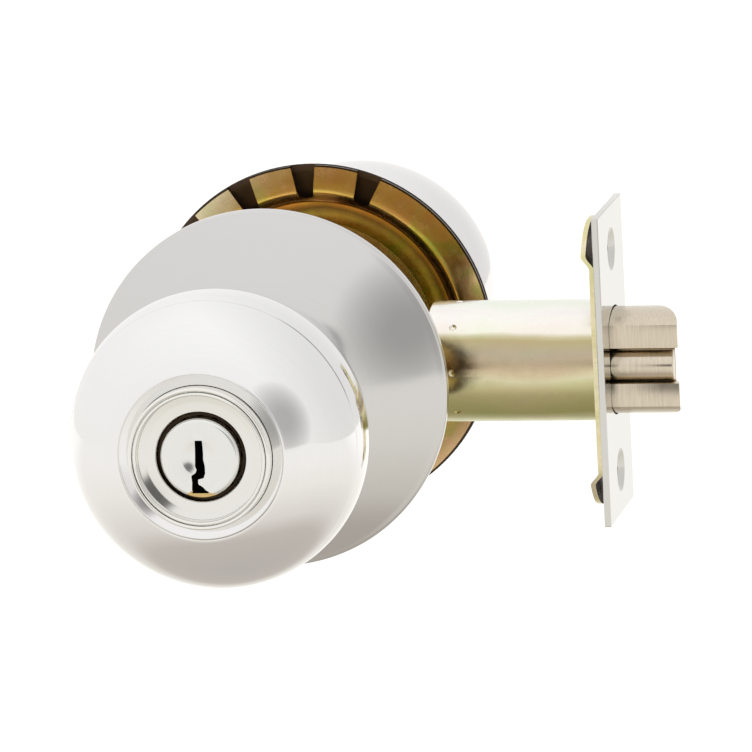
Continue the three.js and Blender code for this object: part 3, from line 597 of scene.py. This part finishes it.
def cylinder():
    low, high = box("cylinder_ring")
    front, back, outer, inner = low.y, high.y, high.x, 11.1
    profile = [(inner, back), (outer, back)]
    profile += bead(outer - 0.36, front, 0.36, 0.4)
    profile += [(outer - 0.72, front + 0.9), (outer - 0.8, front + 0.9)]
    profile += bead(outer - 1.15, front + 0.12, 0.34, 0.34)
    profile += [(inner + 0.02, front + 0.8), (inner, front + 0.8)]
    wear(turned("cylinder_ring", profile, FINE), ring_look, "outer_knob", "polished", "cylinder_ring")

    low, high = box("cylinder_collar")
    mouth, reach, rise = 8, inner - 0.02, 0.5
    cone = fillet([(reach, low.y), (9.9, low.y + 0.3, 3), (mouth + 0.15, low.y + rise)])
    profile = [(mouth, high.y), (reach, high.y)] + cone + [(mouth, low.y + rise + 0.16)]
    wear(turned("cylinder_collar", profile, FINE), collar_look, "outer_knob", "satin", "cylinder_collar")

    low, high = box("cylinder_plug")
    radius, face, rear = 7.1, low.y, high.y
    dimple, depth, edge = 3.2, 0.42, 0.8
    dish = [(dimple * i / 12, face + depth * (1 - (i / 12) ** 2)) for i in range(13)]
    rounded = [(radius - edge + edge * math.sin(t), face + edge * (1 - math.cos(t)))
               for t in [math.radians(7.5 * i) for i in range(13)]]
    plug = turned("cylinder_plug", dish + rounded + [(radius, rear), (0, rear)], ROUND, 1, False)
    keyway = [
        (-0.65, 3.2), (0.65, 3.2), (0.65, 0.6), (0.6, -0.2), (0.85, -1.45), (0.9, -2.7), (0.6, -3.5),
        (-0.4, -3.75), (-0.4, -4.6), (0.4, -5.1), (1, -5.8), (1.2, -6.4), (-1.8, -6.4), (-1.6, -5.6),
        (-1.5, -4.25), (-1.6, -3.1), (-0.85, -2.6), (-0.65, -2.1), (-0.9, -1.45), (-0.85, -0.2)]
    pocket = [(-1.5, -5.7), (0.95, -5.7), (1.7, -6.15), (2.9, -6.45), (3.3, -8), (-3, -8), (-2.6, -6.35)]
    slot = prism("keyway", fillet([(x, z, 0.12) for x, z in keyway], True), face - 1, rear - 4, "y")
    lead = prism("pocket", fillet([(x, z, 0.2) for x, z in pocket], True), face - 1, face + 0.9, "y")
    combine(plug, [slot, lead])
    wear(plug, plug_look, "key_plug", "satin", "cylinder_plug")

    def pocket_floor(c):
        return math.hypot(c.x, c.z) < radius - 0.1 and c.y > face + 0.85 and c.z < -5.6

    # The keyway's walls deeper than 1 mm are painted nearly black as shade.
    def keyway_painted_shade(c):
        return math.hypot(c.x, c.z) < 6.5 and c.y > face + 1

    paint(plug, brass_look, pocket_floor)
    paint(plug, painted_shade_brass_look, keyway_painted_shade)


cylinder()

# ---- Chassis ---------------------------------------------------------------------------------


def housing():
    low, high = box("chassis_housing")
    radius, wall, bore = high.x, 1.2, 10.5
    body = turned("chassis_housing", fillet([
        (bore, low.y), (radius, low.y, 1.6), (radius, high.y, 3), (bore, high.y), (bore, high.y - wall),
        (radius - wall, high.y - wall, 1.8), (radius - wall, low.y + wall, 0.6), (bore, low.y + wall),
    ], True), FINE)
    window = prism("window", circle(11.6, ROUND), 10, 30, "x")
    cuts = [window]
    for z in CLAMP_SCREWS:
        cuts.append(prism("post_hole", circle(3.7, SMALL, (0, z)), low.y - 1, 0, "y"))
        cuts.append(prism("screw_hole", circle(CLAMP_SCREW_HOLE, SMALL, (0, z)), 0, high.y + 1, "y"))
    combine(body, cuts)
    wear(body, zinc_look, "chassis", "yellow_zinc", "chassis_housing")


housing()


def mounting_plate():
    """A dished disc whose rim is cut by tapered notches: each spoke of the mesh stops at its own radius."""
    low, high = box("inner_mounting_plate")
    radius, face = high.x, low.y
    bore, dish, bend, depth, sheet = 13.9, 25.4, 28, 2.2, 0.8
    floor, half_floor, half_rim, round_floor = 26.4, 1.35, 2.35, 0.8
    angles = [sign * (70 + 22.5 * i) for i in range(5) for sign in (1, -1)]

    def shape(r):
        """The front surface's y at a radius."""
        t = min(max((r - dish) / (bend - dish), 0), 1)
        return face + depth * (1 - t * t * (3 - 2 * t))

    def limit(angle):
        """Where the sheet ends along a spoke."""
        for centre in angles:
            off = math.radians((angle - centre + 180) % 360 - 180)
            if abs(off) > math.radians(8):
                continue
            r = radius
            while r > floor:
                across = abs(r * math.tan(off))
                wide = half_floor + (half_rim - half_floor) * (r - floor) / (radius - floor)
                if r < floor + round_floor:
                    wide *= math.sqrt(max(0, 1 - ((floor + round_floor - r) / round_floor) ** 2))
                if across > wide:
                    break
                r -= 0.05
            return max(r, floor)
        return radius

    rows = [bore, 17, 20, 23, 24.6] + [dish + (bend - dish) * i / 10 for i in range(11)]
    rows += [bend + (radius - bend) * i / 6 for i in range(1, 7)]
    spokes = sorted(set(
        [i * 2.5 for i in range(144)]
        + [round((a + d / 6) % 360, 3) for a in angles for d in range(-36, 37)]))
    verts, faces = [], []
    for angle in spokes:
        end = limit(angle)
        turn = math.radians(angle)
        for back in (0, 1):
            for row in (rows if not back else reversed(rows)):
                r = min(row, end)
                y = shape(r) + back * sheet
                verts.append((r * math.cos(turn), y, r * math.sin(turn)))
    count = 2 * len(rows)
    for i in range(len(spokes)):
        a, b = i * count, (i + 1) % len(spokes) * count
        for k in range(count):
            m = (k + 1) % count
            faces.append((a + k, a + m, b + m, b + k))
    plate = make("inner_mounting_plate", verts, faces)
    combine(plate, [
        prism("screw_hole", circle(CLAMP_SCREW_HOLE, SMALL, (0, z)), face, face + 5, "y")
        for z in CLAMP_SCREWS])
    wear(plate, dish_look, "chassis", "yellow_zinc", "inner_mounting_plate")


mounting_plate()


def liner_and_hubs():
    low, high = box("outer_rose_liner")
    profile = fillet([(14, low.y), (high.x, low.y, 0.3), (high.x, high.y, 0.3), (14, high.y)], True)
    wear(turned("outer_rose_liner", profile, ROUND), zinc_look, "chassis", "yellow_zinc", "outer_rose_liner")
    for name, side in (("outer_hub", 1), ("inner_hub", -1)):
        low, high = box(name)
        near, far = (low.y, high.y) if side > 0 else (-high.y, -low.y)
        radius, bore, pitch = high.x, 10.3, 0.9
        profile = [(bore, near), (radius - 0.6, near)]
        y = near
        while y < far - pitch:
            profile += [(radius, y + 0.3), (radius, y + 0.45), (radius - 0.45, y + 0.75)]
            y += pitch
        profile += [(radius, far), (bore, far)]
        wear(turned(name, profile, ROUND, side), steel_look, "chassis", "steel", name)


liner_and_hubs()

# ---- Latch -----------------------------------------------------------------------------------


def flatted(radius, flat):
    """A round bar's outline with a flat towards -Y, as (y, z)."""
    half = math.acos(-flat / radius)
    turns = [-math.pi + half + (2 * math.pi - 2 * half) * i / 72 for i in range(73)]
    return [(radius * math.cos(t), radius * math.sin(t)) for t in turns]


def latch_tube():
    low, high = box("latch_tube")
    radius, wall = high.z, 0.7
    profile = fillet([
        (radius - wall, low.x), (radius, low.x, 0.25), (radius, high.x, 0.1), (radius - wall, high.x)], True)
    tube = turned_x("latch_tube", profile, FINE)
    bulge = [(0.48, -0.58), (0.72, -0.24), (0.78, 0), (0.72, 0.24), (0.48, 0.58)]
    stakes = []
    for i in range(8):
        angle = math.radians(45 * i)
        dent = turned("stake", [(0, -0.75)] + bulge + [(0, 0.75)], 16, 1, False)
        centre = (low.x + 5, (radius + 0.3) * math.cos(angle), (radius + 0.3) * math.sin(angle))
        dent.data.transform(Matrix.Translation([c * MM for c in centre]))
        stakes.append(dent)
    combine(tube, stakes)
    wear(tube, tube_look, "chassis", "yellow_zinc", "latch_tube")


latch_tube()


def bolt():
    low, high = box("latch_bolt")
    radius, flat, tip, rear = high.z, low.y, high.x, low.x
    bar = prism("latch_bolt", flatted(radius, flat), rear, tip, "x")
    groove_half, groove_floor = 3.3, -3.1
    groove = prism("groove", [
        (flat - 1, -groove_half), (groove_floor, -groove_half),
        (groove_floor, groove_half), (flat - 1, groove_half)], rear - 1, tip + 1, "x")
    start, pull, end = (tip, -5.6), (tip - 0.6, -1.6), (tip - 12, 10.4)
    nose = [start]
    for i in range(1, 25):
        t = i / 24
        nose.append(tuple((1 - t) ** 2 * a + 2 * t * (1 - t) * b + t * t * c
                          for a, b, c in zip(start, pull, end)))
    nose += [(tip + 2, end[1]), (tip + 2, start[1])]
    cut = prism("nose", nose, -12, 12, "z")
    socket = prism("socket", [(-1.3, -2.1), (1.3, -2.1), (1.3, 2.1), (-1.3, 2.1)], rear - 1, rear + 4.2, "x")
    combine(bar, [groove, cut, socket])
    soften(bar, 0.25, 3)
    wear(bar, bolt_look, "latch_bolt", "bolt_metal", "latch_bolt")

    low, high = box("deadlatch_plunger")
    half, middle = (high.z - low.z) / 2, (high.z + low.z) / 2
    outline = [(high.y - half * math.sin(math.pi * i / 32), middle + half * math.cos(math.pi * i / 32))
               for i in range(33)]
    plunger = prism("deadlatch_plunger", outline, low.x, high.x, "x")
    soften(plunger, 0.3, 3)
    wear(plunger, bolt_look, "plunger", "bolt_metal", "deadlatch_plunger")


bolt()


def faceplate():
    low, high = box("faceplate")
    corners = [(low.y, low.z, 0.25), (high.y, low.z, 0.25), (high.y, high.z, 0.25), (low.y, high.z, 0.25)]
    plate = prism("faceplate", fillet(corners, True), low.x, high.x, "x")
    soften(plate, 0.18, 2)
    cuts = [prism("opening", flatted(*OPENING), low.x - 1, high.x + 1, "x")]
    for z in FACE_SCREWS:
        sink = turned_x("sink", [(0, low.x - 0.5), (2.6, low.x - 0.5), (2.6, low.x + 0.2), (4, high.x),
                                 (4.4, high.x + 0.5), (0, high.x + 0.5)], 64, False)
        sink.data.transform(Matrix.Translation((0, 0, z * MM)))
        cuts.append(sink)
    combine(plate, cuts)
    shallow = math.radians(20)      # the countersinks meet the face at less than the usual crease
    wear(plate, plate_look, "chassis", "faceplate", "faceplate", crease=shallow)


faceplate()


def backing_plate():
    """A plate whose rounded ends are set back behind the screw holes."""
    high = box("backing_plate")[1]
    half, end, front = high.y, high.z, high.x
    thick, jog, start, slope, corner = 0.9, 1.7, 18.7, 2.6, 11

    def set_back(z):
        t = min(max((abs(z) - start) / slope, 0), 1)
        return jog * t * t * (3 - 2 * t)

    def width(z):
        over = max(abs(z) - (end - corner), 0)
        return half - corner + math.sqrt(max(corner ** 2 - over ** 2, 0))

    foot = start + slope
    heights = [i * 3 for i in range(7)] + [start + slope * i / 10 for i in range(11)]
    heights += [foot + (end - foot) * math.sin(i / 16 * math.pi / 2) for i in range(17)]
    rows = sorted({round(sign * z, 4) for sign in (1, -1) for z in heights})
    columns = [math.sin(math.pi / 2 * (i / 12 - 1)) for i in range(25)]
    verts, faces = [], []
    for z in rows:
        for back in (0, 1):
            for c in (columns if not back else reversed(columns)):
                verts.append((front - set_back(z) - back * thick, c * width(z), z))
    count = 2 * len(columns)
    for i in range(len(rows) - 1):
        for k in range(count):
            m = (k + 1) % count
            faces.append((i * count + k, i * count + m, (i + 1) * count + m, (i + 1) * count + k))
    for i in (0, (len(rows) - 1) * count):
        for k in range(len(columns) - 1):
            faces.append((i + k, i + k + 1, i + count - 2 - k, i + count - 1 - k))
    plate = make("backing_plate", verts, faces)
    radius, flat = OPENING
    cuts = [prism("opening", flatted(radius + 0.05, flat - 0.05), front - 6, front + 1, "x")]
    for z in FACE_SCREWS:
        cuts.append(prism("screw_hole", circle(2.6, SMALL, (0, z)), front - 6, front + 1, "x"))
    combine(plate, cuts)
    wear(plate, backing_look, "chassis", "yellow_zinc", "backing_plate")
    # The front faces of the set-back ends are painted nearly black as the shade in the gap behind the
    # faceplate.
    paint(plate, shade_look, lambda c: abs(c.z) > start + 0.4 and c.x > front - set_back(c.z) - 0.2)


backing_plate()

# ---- Turn button ----------------------------------------------------------------------------


def turn_button():
    low, high = box("inner_knob_ring")
    front, back = -high.y, -low.y
    profile = fillet([
        (8, back - 1.8), (8, front + 0.6, 0.3), (12.5, front, 0.4), (13, front + 0.5, 0.3),
        (13, back), (9.2, back), (9.2, back - 1.8)], True)
    ring = turned("inner_knob_ring", profile, FINE, -1)
    wear(ring, knob_look, "inner_knob", "polished", "inner_knob_ring")

    low, high = box("turn_button")
    front, back = -high.y, -low.y
    face = front + 2.5
    profile = fillet([
        (0, back), (8.6, back), (8.6, back - 1.1), (7.6, back - 1.1), (7.6, face, 0.7), (0, face)])
    button = turned("turn_button", profile, ROUND, -1, False)
    grip = prism("grip", fillet([(-1.6, -6, 1.5), (1.6, -6, 1.5), (1.6, 6, 1.5), (-1.6, 6, 1.5)], True),
                 -front - 3, -front, "y")
    soften(grip, 0.4, 3)
    combine(button, [grip], "UNION")
    wear(button, rose_look, "lock_button", "satin", "turn_button")


turn_button()

# ---- Springs that a slide presses together ---------------------------------------------------

node_slot = {part["node"]: part["material_slot"] for part in frame["record"]["subparts"]}


def coil(name, node, turns, wire, span=None, body="chassis"):
    """A coil spring along X in its CAD node's place.
    """
    low, high = box(node)
    start, end = span or (low.x, high.x)
    y, z = (low.y + high.y) / 2, (low.z + high.z) / 2
    radius = (high.y - low.y) / 2 - wire
    sides, steps = 8, 20
    count = turns * steps
    verts, faces = [], []
    for i in range(count + 1):
        x = start + wire + (end - start - 2 * wire) * i / count
        turn = 2 * math.pi * i / steps
        for k in range(sides):
            round_wire = 2 * math.pi * k / sides
            r = radius + wire * math.cos(round_wire)
            verts.append((x + wire * math.sin(round_wire), y + r * math.cos(turn), z + r * math.sin(turn)))
    for i in range(count):
        for k in range(sides):
            a, b = i * sides + k, i * sides + (k + 1) % sides
            faces.append((a, b, b + sides, a + sides))
    faces += [tuple(range(sides)), tuple(range(count * sides + sides - 1, count * sides - 1, -1))]
    spring = make(name, verts, faces)
    wear(spring, spring_look, body, node_slot[node], node)
    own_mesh(spring)


for spring_node in ("retractor_spring_upper", "retractor_spring_lower"):
    coil(spring_node, spring_node, 7, 0.28)
coil("bolt_spring", "bolt_spring", 8, 0.32)

split = box("latch_bolt")[0].x - 0.5        # the plunger's spring runs on through the bolt's back
coil("plunger_spring_rear", "plunger_spring", 9, 0.2, (30.1, split))
coil("plunger_spring_front", "plunger_spring", 5, 0.2, (split + 0.05, 53.7),
     "latch_bolt")

# ---- CAD nodes that stay ---------------------------------------------------------------------

for name, node in frame["nodes"].items():
    if node.hide_render:
        continue
    node.data.materials.clear()
    node.data.materials.append(LOOKS[node_slot[name]])
# The cylinder shell is painted nearly black as the shade deep in the gap round the plug.
frame["nodes"]["cylinder_shell"].data.materials[0] = painted_shade_brass_look

# ---- Stage, light and camera -----------------------------------------------------------------


def stage():
    """A pale floor well below the lock, with a painted shadow that darkens it close under the lock, and
    glowing though it is no lamp, more so further off and towards +Y. Its sizes are in metres.
    """
    level, left, right, front, rear = -0.8, -6, 6, -4.6, 9
    mesh = bpy.data.meshes.new("floor")
    mesh.from_pydata([(left, front, level), (right, front, level), (right, rear, level), (left, rear, level)],
                     [], [(0, 1, 2, 3)])
    floor = bpy.data.objects.new("floor", mesh)
    bpy.context.scene.collection.objects.link(floor)
    look = Look("pale_floor", (0.8, 0.8, 0.79), 0.9)
    look.shader.inputs["Metallic"].default_value = 0
    look.shader.inputs["Specular IOR Level"].default_value = 0
    away = look.node("ShaderNodeVectorMath", {0: look.place}, operation="LENGTH")
    # Painted shadow: the ramp darkens the floor close under the lock and whitens it further off.
    near = look.ramp(look.spread(away.outputs["Value"], 0, 1, 0.8, 3.6), [
        (0.0, (0.32, 0.28, 0.225)), (0.06, (0.40, 0.345, 0.28)), (0.09, (0.56, 0.51, 0.44)),
        (0.12, (0.70, 0.665, 0.59)), (0.2, (0.82, 0.79, 0.71)), (0.32, (0.93, 0.90, 0.835)),
        (0.6, (0.99, 0.97, 0.93)), (1.0, (1.0, 0.99, 0.96))])
    depth = look.node("ShaderNodeSeparateXYZ", {"Vector": look.place}).outputs["Y"]
    painted_light_towards_back = look.spread(depth, 1, 1.2, 0.8, 2.4)
    near = look.node("ShaderNodeVectorMath", {0: near, 1: painted_light_towards_back}, operation="MULTIPLY").outputs["Vector"]
    # The floor glows in the same colours: painted light, brighter towards +Y.
    look.tree.links.new(near, look.shader.inputs["Emission Color"])
    look.shader.inputs["Emission Strength"].default_value = 0.48
    look.colour(look.mix(0.8, near, (0.42, 0.415, 0.41)))
    floor.data.materials.append(look.material)


def towards(azimuth, elevation):
    """A direction; azimuth 0 is -Y and 90 is +X."""
    a, e = math.radians(azimuth), math.radians(elevation)
    return math.sin(a) * math.cos(e), -math.cos(a) * math.cos(e), math.sin(e)


# What the tent holds besides white cloth: azimuth, elevation, the angles from there where it is
# darkest and where it ends, and the share of light that it leaves.
GREY_PATCHES = [
    (6.5, 3, 7, 10, 0.14),          # the camera and its stand
    (36, 8, 5, 24, 0.5),            # a grey card between the camera and the latch side
    (115, 25, 20, 75, 0.85),        # the open side towards the latch
]


def light():
    """A white tent: brighter overhead, greyer below, with grey patches in it."""
    world = bpy.data.worlds.new("studio")
    bpy.context.scene.world = world
    world.use_nodes = True
    back = world.node_tree.nodes["Background"]
    look = Nodes(world.node_tree, "Generated")
    parts = look.node("ShaderNodeSeparateXYZ", {"Vector": look.place}).outputs
    height = look.spread(parts["Z"], 0, 1, -1, 1)
    level = look.ramp(height, [
        (0.0, (0.40, 0.38, 0.35)), (0.12, (0.60, 0.58, 0.54)), (0.40, (0.92, 0.91, 0.88)),
        (0.49, (0.93, 0.92, 0.90)), (0.62, (0.93, 0.925, 0.92)), (0.8, (0.95, 0.95, 0.95)), (1.0, (1, 1, 1))])
    for azimuth, elevation, inner, outer, shade in GREY_PATCHES:
        near = look.node("ShaderNodeVectorMath", {
            0: look.place, 1: towards(azimuth, elevation)}, operation="DOT_PRODUCT").outputs["Value"]
        near = look.spread(near, 1, shade, math.cos(math.radians(outer)), math.cos(math.radians(inner)))
        level = look.node("ShaderNodeVectorMath", {0: level, 1: near}, operation="MULTIPLY").outputs["Vector"]
    look.tree.links.new(level, back.inputs["Color"])
    back.inputs["Strength"].default_value = 1.08


def camera():
    """The photograph's view. The clipping distances are in metres."""
    azimuth, elevation, roll = 11.771, 11.578, math.radians(2.921)
    distance, right_by, up_by = 1423.85, 14.949, -2.499
    data = bpy.data.cameras.new("camera")
    made = bpy.data.objects.new("camera", data)
    bpy.context.scene.collection.objects.link(made)
    data.sensor_width = 36
    data.lens = 370.03
    data.clip_start, data.clip_end = 0.05, 30
    back = Vector(towards(azimuth, elevation))
    right = Vector((math.cos(math.radians(azimuth)), math.sin(math.radians(azimuth)), 0))
    up = back.cross(right)
    x = right * math.cos(roll) - up * math.sin(roll)
    y = right * math.sin(roll) + up * math.cos(roll)
    made.matrix_world = Matrix.Translation((x * right_by + y * up_by + back * distance) * MM) @ Matrix(
        (x, y, back)).transposed().to_4x4()
    bpy.context.scene.camera = made


stage()
light()
camera()
bpy.context.scene.view_settings.view_transform = "Standard"
